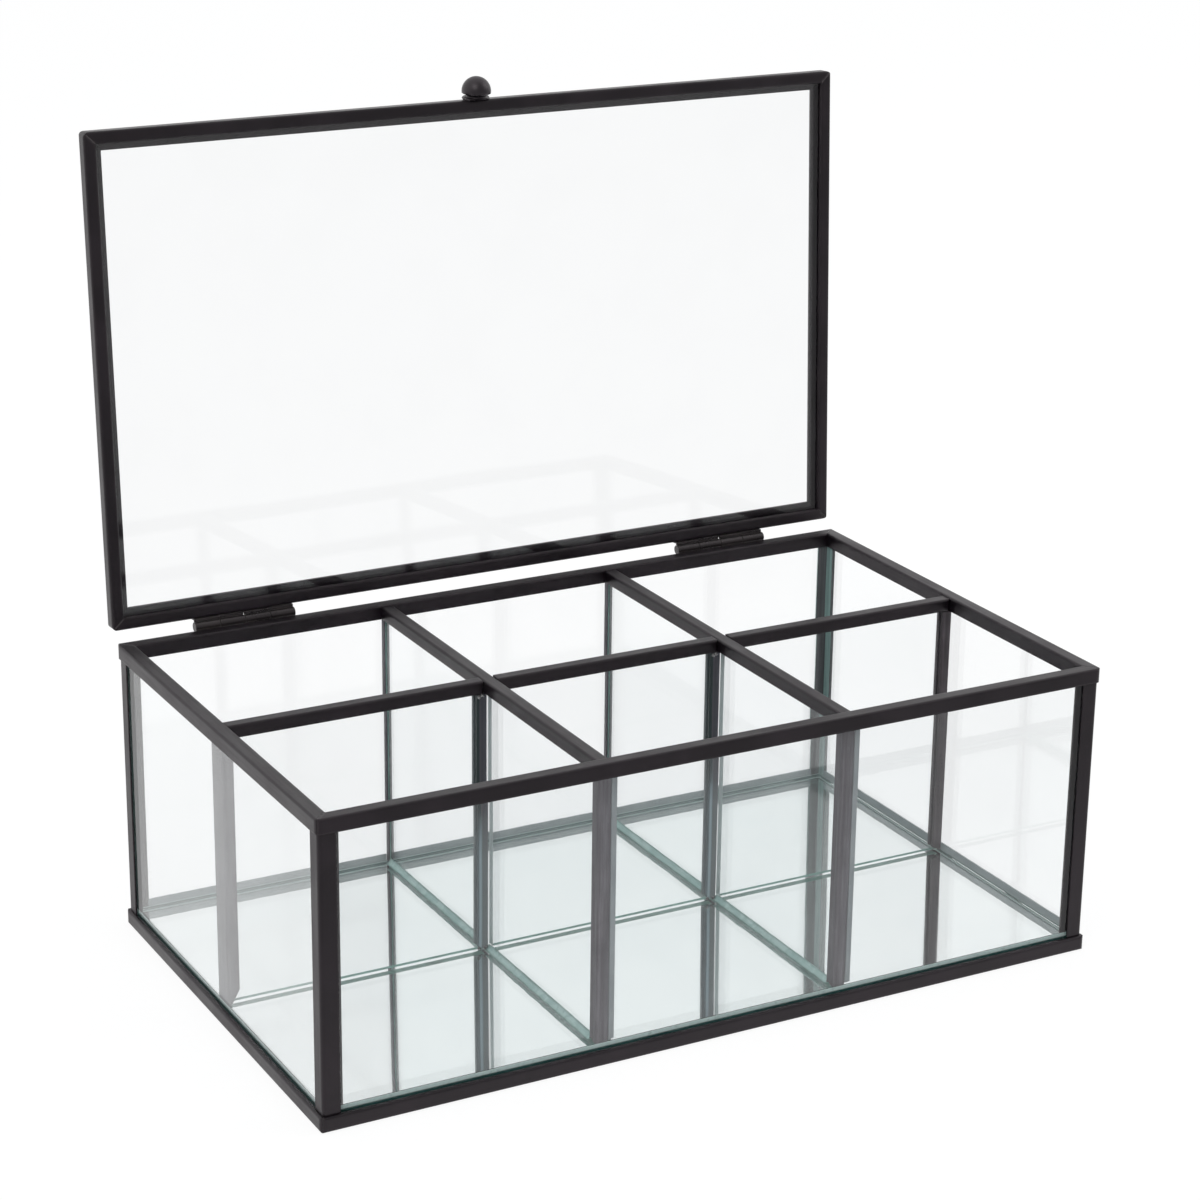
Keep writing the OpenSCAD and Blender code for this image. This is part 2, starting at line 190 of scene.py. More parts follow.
def patina(name, dark, light, worn, run="", rough=(0.30, 0.46), spec=0.42, metal=0.0, grain=0.6,
           wear=0.45, edge=0.0008, seed=0.0, sheen=(1.0, 0.91, 0.96), paint=None):
    """A blackened metal: broad mottling, fine drawn streaks along run, a grain and paler worn
    edges. paint(tree, colour) may lay more colour over it."""
    mat, t = new_material(name)
    plain = t.coords(offset=(seed, seed * 0.7, seed * 0.3))
    drawn = t.coords(scale=ALONG[run], offset=(seed, 0, 0))
    broad = t.noise(plain, 55.0, 4.0, 0.55, 0.4)
    fine = t.noise(plain, 1500.0, 2.0, 0.6)
    streak = t.noise(drawn, 900.0, 3.0, 0.6)
    specks = t.noise(plain, 420.0, 5.0, 0.7)
    col = t.mix(t.rise(broad, 0.35, 0.68), rgb(*dark), rgb(*light))
    col = t.mix(t.span(specks, 0.62, 0.74, 0.0, 0.6), col, scaled(light, 1.6))
    # the worn edges: where the rounded normal leaves the face's own
    rounded = t.bevel(edge)
    dot = t.add("ShaderNodeVectorMath", operation="DOT_PRODUCT")
    t.put(dot.inputs[0], rounded)
    t.put(dot.inputs[1], t.add("ShaderNodeNewGeometry").outputs["Normal"])
    rim = t.span(dot.outputs["Value"], 0.72, 0.985, 1.0, 0.0)
    patch = t.rise(t.noise(plain, 140.0, 5.0, 0.65), 0.42, 0.66)
    rub = t.math("MULTIPLY", t.math("MULTIPLY", rim, patch), wear)
    col = t.mix(rub, col, rgb(*worn))
    if paint:
        col = paint(t, col)
    roughness = t.span(t.weigh(broad, 0.6, streak, 0.4), 0.3, 0.7, *rough)
    normal = t.bump(t.weigh(fine, 0.5, streak, 0.8), grain, 0.00006,
                    t.bump(broad, 0.25, 0.0004, rounded))
    t.finish(t.principled(col, roughness, normal, Specular_IOR_Level=spec,
                          Specular_Tint=rgb(*sheen), Metallic=metal))
    return mat


def ground_edge(t, colour, layers=(), ends=None):
    """The cut edge of a pane: sea green, a little frosted, with small chips.
    layers, each (low, high, colour), lay a colour over it above a height, and all over its far
    sides. ends is the colour of the faces that look along X."""
    plain = t.coords()
    chips = t.rise(t.noise(plain, 700.0, 4.0, 0.7), 0.5, 0.72)
    slow = t.rise(t.noise(plain, 60.0, 3.0, 0.6), 0.35, 0.65)
    col = t.mix(slow, scaled(colour, 0.82), scaled(colour, 1.12))
    if layers:
        tc = t.add("ShaderNodeTexCoord")
        place, look = t.split(tc.outputs["Object"]), t.split(tc.outputs["Normal"])
        far = t.math("GREATER_THAN", t.math("MAXIMUM", look["X"], look["Y"]), 0.5)
        for low, high, c in layers:
            over = t.math("MAXIMUM", far, t.rise(place["Z"], low, high))
            col = t.mix(over, col, rgb(*c))
    if ends:
        sideways = t.math("GREATER_THAN", t.math("ABSOLUTE", t.facing_axes()["X"]), 0.5)
        col = t.mix(sideways, col, rgb(*ends))
    col = t.mix(t.math("MULTIPLY", chips, 0.35), col, scaled(colour, 1.7, 0.05))
    return t.principled(col, t.span(chips, 0.0, 1.0, 0.3, 0.55),
                        t.bump(t.noise(plain, 500.0, 3.0, 0.6), 0.5, 0.0001))


BENT_PANES = 4


def glass(name, tint, vol, edge, axis, ior=1.5, wave=0.15, layers=(), ends=None):
    """Float glass: clear, very slightly wavy, green along its depth, with cut edges where a face
    does not look along axis. Shadow rays and soft light pass it."""
    mat, t = new_material(name)
    plain = t.coords()
    haze = t.rise(t.noise(plain, 38.0, 5.0, 0.6), 0.4, 0.72)
    body = t.principled(t.mix(haze, rgb(*tint), scaled(tint, 0.988)), 0.0,
                        t.bump(t.noise(plain, 22.0, 1.0, 0.4), wave, 0.0004),
                        IOR=ior, Transmission_Weight=1.0)
    clear = t.add("ShaderNodeBsdfTransparent")
    path = t.add("ShaderNodeLightPath")
    soft = t.math("MAXIMUM", path.outputs["Is Shadow Ray"], path.outputs["Is Diffuse Ray"])
    t.put(clear.inputs["Color"], t.mix(soft, rgb(0.995, 1.0, 1.0), scaled(tint, 0.96)))
    # a ray that has bent through this many panes goes straight through the rest, so that it does
    # not run out of bounces; each pane bends it twice
    spent = t.math("GREATER_THAN", path.outputs["Transmission Depth"], BENT_PANES * 2 - 0.5)
    whole = t.mix_shader(t.math("MAXIMUM", soft, spent), body, clear.outputs[0])
    off_axis = t.math("LESS_THAN", t.math("ABSOLUTE", t.facing_axes()[axis]), 0.6)
    t.finish(t.mix_shader(off_axis, whole, ground_edge(t, edge, layers, ends)))
    depth = t.add("ShaderNodeVolumeAbsorption")
    depth.inputs["Color"].default_value = rgb(*vol[0])
    depth.inputs["Density"].default_value = vol[1]
    t.put(t.out.inputs["Volume"], depth.outputs[0])
    return mat


# ---------------------------------------------------------------- materials

DARK = (0.0042, 0.0028, 0.0044)
LIGHT = (0.0112, 0.0078, 0.0108)
WORN = (0.080, 0.064, 0.066)
GREEN_DEPTH = ((0.18, 0.93, 0.80), 5.0)
MIRROR_DEPTH = ((0.18, 0.93, 0.80), 4.0)
TEAL = (0.30, 0.50, 0.45)
DEEP_TEAL = (0.030, 0.095, 0.088)
PALE_TEAL = (0.60, 0.74, 0.71)
CLEAR_TINT = (0.988, 0.986, 0.990)
STRIP = dict(run="z", rough=(0.42, 0.58), spec=0.4, grain=0.4, wear=0.3, edge=0.0004)


def side_wise(limit, *sides):
    """Paints the faces whose own normal along an axis is under limit. Each side is (axis,
    colour)."""
    def paint(t, col):
        look = t.facing_axes()
        lines = t.rise(t.noise(t.coords(scale=(1, 1, 0.02)), 1300.0, 3.0, 0.6), 0.35, 0.7)
        for axis, c in sides:
            shade = t.mix(lines, scaled(c, 0.75), scaled(c, 1.2))
            col = t.mix(t.math("LESS_THAN", look[axis], limit), col, shade)
        return col
    return paint


# The crossing strips' painted reflections, as bands from left to right seen from the front left:
# the lower half has a pale stripe in it, a painted glint, and the upper half a dark, greenish one
REFLECTION_BANDS_LOW = ((0.0, (0.225, 0.255, 0.265)), (0.28, (0.21, 0.24, 0.25)), (0.36, (0.11, 0.145, 0.16)),
             (0.46, (0.12, 0.16, 0.18)), (0.52, (0.32, 0.41, 0.44)), (0.60, (0.29, 0.38, 0.41)),
             (0.68, (0.15, 0.175, 0.18)), (1.0, (0.165, 0.185, 0.19)))
REFLECTION_BANDS_HIGH = ((0.0, (0.15, 0.17, 0.175)), (0.20, (0.12, 0.145, 0.15)),
              (0.28, (0.028, 0.046, 0.046)), (0.56, (0.018, 0.034, 0.034)),
              (0.62, (0.075, 0.078, 0.088)), (0.74, (0.055, 0.055, 0.065)),
              (1.0, (0.080, 0.082, 0.094)))
REFLECTION_BANDS_CHANGE = (0.040, 0.056)
# How much of a step along X and along -Y goes to the right, seen from the front left
STEP_X, STEP_Y = 0.878, 0.479


def painted_reflection_bands(x0, y0, width, depth):
    """Paints upright bands of painted reflection and glint round a strip, changing half way up."""
    def ramp(t, u, stops):
        node = t.add("ShaderNodeValToRGB")
        t.put(node.inputs[0], u)
        elements = node.color_ramp.elements
        for element, (at, c) in ((elements[0], stops[0]), (elements[1], stops[-1])):
            element.position, element.color = at, rgb(*c)
        for at, c in stops[1:-1]:
            elements.new(at).color = rgb(*c)
        return node.outputs[0]

    def paint(t, col):
        place = t.split(t.add("ShaderNodeTexCoord").outputs["Object"])
        uneven = t.noise(t.coords(scale=(1, 1, 0.3)), 160.0, 3.0, 0.6)
        drift = t.math("MULTIPLY", uneven, 0.0004)
        from_left = t.math("SUBTRACT", t.math("ADD", place["X"], drift), x0)
        from_back = t.math("SUBTRACT", y0 + depth, place["Y"])
        u = t.math("DIVIDE", t.weigh(from_left, STEP_X, from_back, STEP_Y),
                   width * STEP_X + depth * STEP_Y)
        wave = t.math("MULTIPLY", t.noise(t.coords(), 90.0, 2.0, 0.5), 0.012)
        up = t.rise(t.math("ADD", place["Z"], wave), *REFLECTION_BANDS_CHANGE)
        return t.mix(up, ramp(t, u, REFLECTION_BANDS_LOW), ramp(t, u, REFLECTION_BANDS_HIGH))
    return paint


def streaked(t, col):
    """Fine upright streaks, lighter and darker."""
    lines = t.rise(t.noise(t.coords(scale=(1, 1, 0.02)), 1500.0, 3.0, 0.65), 0.35, 0.68)
    smear = t.rise(t.noise(t.coords(scale=(1, 1, 0.12)), 420.0, 4.0, 0.6), 0.36, 0.66)
    tone = t.mix(t.weigh(lines, 0.6, smear, 0.4), rgb(0.62, 0.60, 0.62), rgb(1.34, 1.34, 1.36))
    return t.mix(1.0, col, tone, blend_type="MULTIPLY")


black = {r: patina("black_metal_" + (r or "all"), DARK, LIGHT, WORN, run=r, seed=i * 0.13)
         for i, r in enumerate(("x", "y", "z", ""))}
lid_black = {r: patina("black_metal_lid_" + r, DARK, LIGHT, WORN, run=r, seed=0.4 + i * 0.13,
                       edge=0.0013)
             for i, r in enumerate(("x", "z"))}
hinge_m = patina("hinge_metal_black", (0.010, 0.0085, 0.0085), (0.021, 0.018, 0.017),
                 (0.16, 0.14, 0.13), rough=(0.24, 0.38), spec=0.6, grain=0.35, wear=0.6,
                 edge=0.0003, seed=0.7)
# one strip metal in two copies of different lightness: the grey one has painted reflection in its
# colour, the darker brown one painted shade
strip_painted_reflection = patina("strip_metal_grey_painted_reflection", (0.103, 0.098, 0.108), (0.150, 0.143, 0.153),
                    (0.26, 0.25, 0.25), seed=0.9, paint=streaked, **STRIP)
strip_painted_shade = patina("strip_metal_brown_painted_shade", (0.058, 0.050, 0.054), (0.085, 0.075, 0.080),
                    (0.20, 0.19, 0.19), seed=0.95, paint=streaked, **STRIP)
post_bare = patina("corner_post_inside", DARK, LIGHT, WORN, run="z", seed=0.6,
                   paint=side_wise(-0.5, ("Y", (0.105, 0.108, 0.112)), ("X", (0.27, 0.40, 0.38))))
# the crossing strips: their colour is painted reflection and glint bands over the metal
crossing_reflections = {}
for side in ("left", "right"):
    lo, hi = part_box("long_strip_crossing_" + side)
    crossing_reflections[side] = patina("strip_metal_crossing_" + side, (0.1, 0.1, 0.1), (0.1, 0.1, 0.1),
                            (0.2, 0.2, 0.2), seed=0.3,
                            paint=painted_reflection_bands(lo.x, lo.y, hi.x - lo.x, hi.y - lo.y), **STRIP)
rail_inside = patina("base_rail_inside", (0.26, 0.31, 0.315), (0.35, 0.40, 0.405),
                     (0.48, 0.52, 0.52), run="x", rough=(0.42, 0.58), spec=0.4, grain=0.4,
                     wear=0.3, edge=0.0002, seed=1.9)
fold = patina("strip_metal_fold", (0.25, 0.28, 0.29), (0.31, 0.34, 0.35), (0.42, 0.43, 0.43),
              seed=2.2, **STRIP)
pane = {a: glass("clear_glass_pane_" + a.lower(), CLEAR_TINT, GREEN_DEPTH, TEAL, a) for a in "XY"}
# the long dividers' cut ends, the faces that look along X, are painted pale: a painted glint on the
# glass edge
divider = {a: glass("clear_glass_divider_" + a.lower(), CLEAR_TINT, GREEN_DEPTH, TEAL, a,
                    ends=(0.78, 0.88, 0.87) if a == "Y" else None) for a in "XY"}


def finish_for(name):
    sideways = name.endswith(("_left", "_right"))
    if "divider_glass" in name:
        return divider["X" if name.startswith("cross") else "Y"]
    if "glass" in name or name == "floor_mirror":
        return pane["X" if name.startswith("glass_wall") and sideways else "Y"]
    if name.startswith("hinge"):
        return hinge_m
    if name.startswith("long_strip_crossing"):
        return crossing_reflections[name.rsplit("_", 1)[1]]
    if name == "long_strip_wall_right":
        return strip_painted_shade
    if name.startswith(("cross_strip", "long_strip")):
        return strip_painted_reflection
    if name.startswith("knob"):
        return black[""]
    if name == "corner_post_back_right":
        return post_bare
    if name.startswith("corner_post"):
        return black["z"]
    if name.startswith("lid_rail"):
        return lid_black["z" if sideways else "x"]
    if name.startswith("cross_divider_cap") or ("rail" in name and sideways):
        return black["y"]
    return black["x"]


for name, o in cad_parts.items():
    slots = o.data.materials
    if not slots:
        slots.append(finish_for(name))
    else:
        for i in range(len(slots)):
            slots[i] = finish_for(name)


# ---------------------------------------------------------------- new pieces

def piece(name, bm, mats, body, smooth=True):
    me = bpy.data.meshes.new(name)
    bmesh.ops.recalc_face_normals(bm, faces=bm.faces)
    for f in bm.faces:
        f.smooth = smooth
    bm.to_mesh(me)
    bm.free()
    for m in mats:
        me.materials.append(m)
    o = bpy.data.objects.new(name, me)
    bpy.context.scene.collection.objects.link(o)
    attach(o, body)
    return o


def soften(o, width):
    """Rounds a piece's edges."""
    m = o.modifiers.new("soft_edges", "BEVEL")
    m.width = width
    m.segments = 2
    m.limit_method = "ANGLE"
    m.angle_limit = math.radians(40)


def slab(bm, lo, hi, chamfer):
    """A plate with rounded edges, from corner lo to corner hi."""
    verts = bmesh.ops.create_cube(bm, size=1.0)["verts"]
    c = (Vector(lo) + Vector(hi)) / 2
    d = Vector(hi) - Vector(lo)
    for v in verts:
        v.co = Vector((v.co.x * d.x, v.co.y * d.y, v.co.z * d.z)) + c
    edges = list({e for v in verts for e in v.link_edges})
    bmesh.ops.bevel(bm, geom=edges, offset=chamfer, segments=2, affect="EDGES", profile=0.5)


def ring_of(bm, points):
    """New vertices at points in millimetres."""
    return [bm.verts.new(p * MM) for p in points]


def skin(bm, rings, caps=True):
    """Faces from each ring of vertices to the next. Without caps the last ring meets the first."""
    n = len(rings[0])
    for r, q in zip(rings, rings[1:] if caps else rings[1:] + rings[:1]):
        for i in range(n):
            bm.faces.new((r[i], r[(i + 1) % n], q[(i + 1) % n], q[i]))
    if caps:
        bm.faces.new(rings[0])
        bm.faces.new(rings[-1])


def wander(rng, value, low, high, pull):
    """One step of a slow random walk about 1."""
    return value + (rng.uniform(low, high) - value) * pull


# the mirror: a float pane silvered below, with a grey backing coat under it
# Added to the silver's normal, tuned to the photo's view
SILVER_LEAN = (0.0, 0.005, 0.0)
silver, t = new_material("mirror_silver")
plain = t.coords()
tone = t.rise(t.noise(plain, 30.0, 4.0, 0.6), 0.35, 0.7)
lean = t.add("ShaderNodeVectorMath", operation="ADD")
t.put(lean.inputs[0], t.bump(t.noise(plain, 14.0, 2.0, 0.5), 0.10, 0.0004))
lean.inputs[1].default_value = SILVER_LEAN
level = t.add("ShaderNodeVectorMath", operation="NORMALIZE")
t.put(level.inputs[0], lean.outputs[0])
t.finish(t.principled(t.mix(tone, rgb(0.955, 0.965, 0.965), rgb(0.935, 0.950, 0.953)), 0.012,
                      level.outputs[0], Metallic=1.0))

backing, t = new_material("mirror_backing_coat")
plain = t.coords()
mottled = t.rise(t.noise(plain, 90.0, 5.0, 0.6), 0.3, 0.7)
t.finish(t.principled(t.mix(mottled, rgb(0.19, 0.20, 0.21), rgb(0.24, 0.25, 0.26)),
                      t.span(mottled, 0.0, 1.0, 0.55, 0.7),
                      t.bump(t.noise(plain, 900.0, 3.0, 0.6), 0.4, 0.0001)))

mirror_body = glass("mirror_glass_body", (0.99, 0.993, 0.993), MIRROR_DEPTH, DEEP_TEAL, "Z",
                    ior=1.42, wave=0.08, layers=((0.0042, 0.0045, PALE_TEAL),))

COAT = 0.0001
COAT_AIR = 0.00002
lo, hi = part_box("floor_mirror")
bm = bmesh.new()
slab(bm, (lo.x, lo.y, lo.z + COAT + COAT_AIR), hi, 0.00025)
bm.normal_update()
for f in bm.faces:
    if f.normal.z < -0.9:
        f.material_index = 1
mirror = piece("mirror_pane", bm, [mirror_body, silver], "base", smooth=False)
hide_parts("floor_mirror")
bm = bmesh.new()
slab(bm, lo, (hi.x, hi.y, lo.z + COAT), 0.00002)
piece("mirror_backing", bm, [backing], "base", smooth=False)


def upright(bm, a, b, thick, z0, z1, wobble, seed):
    """A thin upright strip from a to b, each (x, y), its top edge a little uneven."""
    rng = random.Random(seed)
    a, b = Vector((*a, 0)), Vector((*b, 0))
    side = (b - a).normalized().cross(Vector((0, 0, 1))) * thick / 2
    steps = max(2, int((b - a).length / 1.5))
    rings = []
    for k in range(steps + 1):
        c = a + (b - a) * k / steps
        top = z1 + rng.uniform(-wobble, wobble)
        rings.append(ring_of(bm, [c + side * q + Vector((0, 0, z))
                                  for q, z in ((-1, z0), (1, z0), (1, top), (-1, top))]))
    skin(bm, rings)


# the pale lips above the mirror at the back and right walls, parted at the dividers' strips
LIP = 2.2
LIP_THICK = 0.45
LIP_BACK_Y, LIP_RIGHT_X = 67.42, 116.42
LIP_END_X, LIP_END_Y = 113.3, 64.3
STRIP_WALL_HALF = 2.15
slim_lo, slim_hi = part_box("cross_strip_back_left")
slim = (slim_hi.x - slim_lo.x) / 2 / MM + 0.12
left_x, right_x = DIVIDERS_X
lips = [((a, LIP_BACK_Y), (b, LIP_BACK_Y), 200 + k) for k, (a, b) in enumerate((
    (-LIP_END_X, left_x - slim), (left_x + slim, right_x - slim), (right_x + slim, LIP_END_X)))]
lips += [((LIP_RIGHT_X, a), (LIP_RIGHT_X, b), 210 + k) for k, (a, b) in enumerate((
    (-LIP_END_Y, -STRIP_WALL_HALF), (STRIP_WALL_HALF, LIP_END_Y)))]
bm = bmesh.new()
for a, b, seed in lips:
    upright(bm, a, b, LIP_THICK, MIRROR_TOP + 0.04, MIRROR_TOP + LIP, 0.05, seed)
piece("base_rail_lips", bm, [rail_inside], "base", smooth=False)

# the pale fold beside each front strip
FOLD_RUN = (1.75, 0.25)
for side in ("left", "right"):
    lo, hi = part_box("cross_strip_front_" + side)
    x0, y0 = hi.x / MM + 0.02, lo.y / MM + 0.30
    bm = bmesh.new()
    upright(bm, (x0, y0), (x0 + FOLD_RUN[0], y0 + FOLD_RUN[1]), 0.35, lo.z / MM + 0.5, hi.z / MM,
            0.0, 220)
    soften(piece("cross_strip_fold_" + side, bm, [fold], "base", smooth=False),
           0.00008)


# A fillet's section: how far out and how far up each corner is, in parts of its size
FILLET_SECTION = ((0, 0), (1, 0), (0.55, 0.16), (0.22, 0.45), (0, 1))


def fillet(bm, a, b, out, size, seed):
    """A clear bead along a divider's foot, from a to b, filling the corner towards out."""
    rng = random.Random(seed)
    a, b, out = Vector(a), Vector(b), Vector(out)
    steps = max(6, int((b - a).length / 1.2))
    rings = []
    w = h = 1.0
    for k in range(steps + 1):
        w = wander(rng, w, 0.7, 1.25, 0.25)
        h = wander(rng, h, 0.8, 1.2, 0.25)
        c = a + (b - a) * k / steps
        rings.append(ring_of(bm, [c + out * p * size * w + Vector((0, 0, q * size * h))
                                  for p, q in FILLET_SECTION]))
    skin(bm, rings)


adhesive, t = new_material("clear_adhesive")
plain = t.coords()
cloud = t.rise(t.noise(plain, 120.0, 4.0, 0.6), 0.35, 0.68)
t.finish(t.principled(t.mix(cloud, rgb(0.33, 0.52, 0.49), rgb(0.49, 0.66, 0.63)),
                      t.span(cloud, 0.0, 1.0, 0.18, 0.34),
                      t.bump(t.noise(plain, 380.0, 3.0, 0.6), 0.4, 0.0002)))

PANE_HALF = 1.12
FILLET_LEFT, FILLET_RIGHT = 1.5, 0.8
FILLET_RUNS = ((-64.2, -2.2), (2.2, 65.5))
bm = bmesh.new()
z = MIRROR_TOP + 0.02
for k, x in enumerate(DIVIDERS_X):
    for j, (y0, y1) in enumerate(FILLET_RUNS):
        for out, size, seed in ((-1, FILLET_LEFT, 300), (1, FILLET_RIGHT, 320)):
            face = x + out * PANE_HALF
            fillet(bm, (face, y0, z), (face, y1, z), (out, 0, 0), size, seed + 4 * k + j)
piece("adhesive_cross_dividers", bm, [adhesive], "base")


# solder: seams along the mitres and small beads where a strip meets its cap and the mirror
solder = patina("black_metal_solder", (0.014, 0.012, 0.013), (0.030, 0.026, 0.027),
                (0.20, 0.18, 0.17), rough=(0.22, 0.40), spec=0.6, wear=0.8, edge=0.0002, seed=1.3)
solder_bright = patina("strip_metal_solder", (0.16, 0.16, 0.16), (0.34, 0.34, 0.34),
                       (0.6, 0.6, 0.6), rough=(0.16, 0.34), spec=0.6, metal=0.7, grain=0.5,
                       wear=0.8, edge=0.0002, seed=1.6, sheen=(1, 1, 1))


def lid_point(x, y, z):
    """Where a point of the closed lid is at the rest pose, in millimetres."""
    dy, dz = y - LID_AXIS_Y, z - LID_AXIS_Z
    return Vector((x, LID_AXIS_Y + dy * math.cos(OPEN) - dz * math.sin(OPEN),
                   LID_AXIS_Z + dy * math.sin(OPEN) + dz * math.cos(OPEN)))


LID_UP = lid_point(0, 0, 88.0) - lid_point(0, 0, 87.0)


def seam(bm, a, b, up, half, proud, seed):
    """A low, uneven bead of solder from a to b, its crown along up. All in millimetres."""
    rng = random.Random(seed)
    a, b, up = Vector(a), Vector(b), Vector(up).normalized()
    run = (b - a)
    across = run.normalized().cross(up)
    steps = max(10, int(run.length / 0.35))
    rings = []
    w = h = 1.0
    for k in range(steps + 1):
        u = k / steps
        end = min(1.0, min(u, 1 - u) * 9 + 0.25)
        w = wander(rng, w, 0.7, 1.3, 0.4)
        h = wander(rng, h, 0.6, 1.35, 0.4)
        c = a + run * u + across * rng.uniform(-0.04, 0.04)
        rings.append(ring_of(bm, [c + across * (math.cos(math.pi * j / 6) * half * w * end)
                                  + up * (math.sin(math.pi * j / 6) * proud * h * end - 0.02)
                                  for j in range(7)]))
    skin(bm, rings)


def bead(bm, at, size, seed, squash):
    """A small frozen drop of solder, lumpy, in millimetres."""
    rng = random.Random(seed)
    drop = bmesh.ops.create_icosphere(bm, subdivisions=3, radius=1.0)
    lumps = [(Vector([rng.uniform(-1, 1) for _ in range(3)]).normalized(), rng.uniform(-0.25, 0.3))
             for _ in range(9)]
    for v in drop["verts"]:
        n = v.co.normalized()
        f = 1.0 + sum(h * max(0.0, n.dot(d)) ** 5 for d, h in lumps)
        v.co = (Vector(at) + Vector([c * f * size * q for c, q in zip(n, squash)])) * MM


def mitres(width):
    """The mitre at each corner of a frame of that width: its number, outer end and inner end."""
    for i, (sx, sy) in enumerate(((-1, -1), (1, -1), (1, 1), (-1, 1))):
        yield (i, (sx * (HALF_W - 0.55), sy * (HALF_D - 0.55)),
               (sx * (HALF_W - width), sy * (HALF_D - width)))


bm = bmesh.new()
for i, outer, inner in mitres(4.1):
    seam(bm, (*outer, RIM_SEAM_Z), (*inner, RIM_SEAM_Z), (0, 0, 1), 0.20, 0.07, 20 + i)
piece("solder_seams_rim", bm, [solder], "base")

bm = bmesh.new()
for width, z, up, proud, seed in ((3.5, LID_UNDER_Z, -LID_UP, 0.08, 40),
                                  (5.5, LID_OVER_Z, LID_UP, 0.06, 60)):
    for i, outer, inner in mitres(width):
        seam(bm, lid_point(*outer, z), lid_point(*inner, z), up, 0.22, proud, seed + i)
piece("solder_seams_lid", bm, [solder], "lid")

# Each drop of solder: its offset from a divider's middle, y, z and size
DROPS_CROSSING = ((-3.7, -2.05, 82.2, 0.55), (-2.8, -2.1, 82.5, 0.42), (-4.1, -2.0, 6.0, 0.5),
                  (-2.1, -2.1, 5.9, 0.6))
DROPS_WALLS = ((-1.5, -64.3, 6.0, 0.55), (1.3, -64.3, 5.95, 0.45), (-1.2, 65.7, 6.0, 0.4),
               (1.1, 65.7, 6.0, 0.4))
bm = bmesh.new()
seed = 80
for drops, squash in ((DROPS_CROSSING, (1, 0.45, 1.1)), (DROPS_WALLS, (1.1, 0.4, 0.7))):
    for x in DIVIDERS_X:
        for dx, y, z, size in drops:
            bead(bm, (x + dx, y, z), size, seed, squash)
            seed += 1
piece("solder_beads_strips", bm, [solder_bright], "base")

# the lid leaf's folded edge, beside the knuckles of the other leaf
LEAF_EDGE = ((-2.36, -0.36), (-1.62, -0.36), (-1.47, -0.20), (-1.47, 0.28), (-1.62, 0.42),
             (-2.36, 0.42))
BOX_KNUCKLES = (0, 2)
bm = bmesh.new()
for side in ("left", "right"):
    lo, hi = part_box("hinge_pin_" + side)
    length = (hi.x - lo.x) / MM
    for k in BOX_KNUCKLES:
        start = lo.x / MM + k * (length + KNUCKLE_GAP) / 4
        ends = (start - (0.2 if k else 0), start + (length - 3 * KNUCKLE_GAP) / 4 + 0.2)
        skin(bm, [ring_of(bm, [lid_point(x, LID_AXIS_Y + y, LID_AXIS_Z + z) for y, z in LEAF_EDGE])
                  for x in ends])
soften(piece("hinge_leaf_edges", bm, [hinge_m], "lid", smooth=False), 0.00006)

# the knob: a ball with a narrow neck, turned as one piece
knob_metal = patina("black_metal_knob", DARK, LIGHT, WORN, rough=(0.33, 0.44), spec=0.6,
                    grain=0.25, wear=0.3, edge=0.0002, seed=2.5)
KNOB_R = 4.3
TURN = 48
foot_lo, foot_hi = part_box("knob_collar")
dome_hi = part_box("knob_dome")[1]
foot_x, foot_y = (foot_lo.x + foot_hi.x) / 2 / MM, (foot_lo.y + foot_hi.y) / 2 / MM
foot_z = foot_lo.z / MM
knob_foot = Vector((foot_x, foot_y, foot_z + 0.1))
knob_h = (dome_hi.z - foot_lo.z) / MM - 0.12
ball_z = knob_h - KNOB_R
profile = [(KNOB_R * math.sin(math.radians(g)), ball_z + KNOB_R * math.cos(math.radians(g)))
           for g in range(6, 97, 6)]
profile += [(4.00, ball_z - 0.62), (3.55, ball_z - 0.74), (3.10, ball_z - 0.86),
            (2.95, ball_z - 1.2), (2.95, 1.1), (3.10, 0.70), (3.40, 0.50), (3.60, 0.10)]
axis_up = Vector((0, -math.sin(KNOB_TILT), math.cos(KNOB_TILT)))
axis_y = Vector((0, math.cos(KNOB_TILT), math.sin(KNOB_TILT)))
# The box's top rail, with a little air, as the closed lid meets it
RIM_AIR_Z, RIM_AIR_Y = 87.25, -71.25


def clear_of_rim(at):
    """The knob hangs past the closed lid's lower edge, so there it starts a little off the box's
    top rail."""
    dy, dz = at.y - LID_AXIS_Y, at.z - LID_AXIS_Z
    shut_y = LID_AXIS_Y + dy * math.cos(OPEN) + dz * math.sin(OPEN)
    shut_z = LID_AXIS_Z - dy * math.sin(OPEN) + dz * math.cos(OPEN)
    if shut_z < RIM_AIR_Z and shut_y > RIM_AIR_Y:
        return at + axis_up * (shut_y - RIM_AIR_Y)
    return at


bm = bmesh.new()
circle = [(math.cos(2 * math.pi * j / TURN), math.sin(2 * math.pi * j / TURN)) for j in range(TURN)]
rings = [ring_of(bm, [clear_of_rim(knob_foot + Vector((1, 0, 0)) * (u * r) + axis_y * (v * r)
                                   + axis_up * h) for u, v in circle])
         for r, h in profile]
for r, q in zip(rings, rings[1:]):
    for j in range(TURN):
        bm.faces.new((r[j], r[(j + 1) % TURN], q[(j + 1) % TURN], q[j]))
top = bm.verts.new((knob_foot + axis_up * knob_h) * MM)
for j in range(TURN):
    bm.faces.new((top, rings[0][(j + 1) % TURN], rings[0][j]))
bm.faces.new(rings[-1])
knob = piece("knob_ball", bm, [knob_metal], "lid")
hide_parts("knob_dome", "knob_collar")

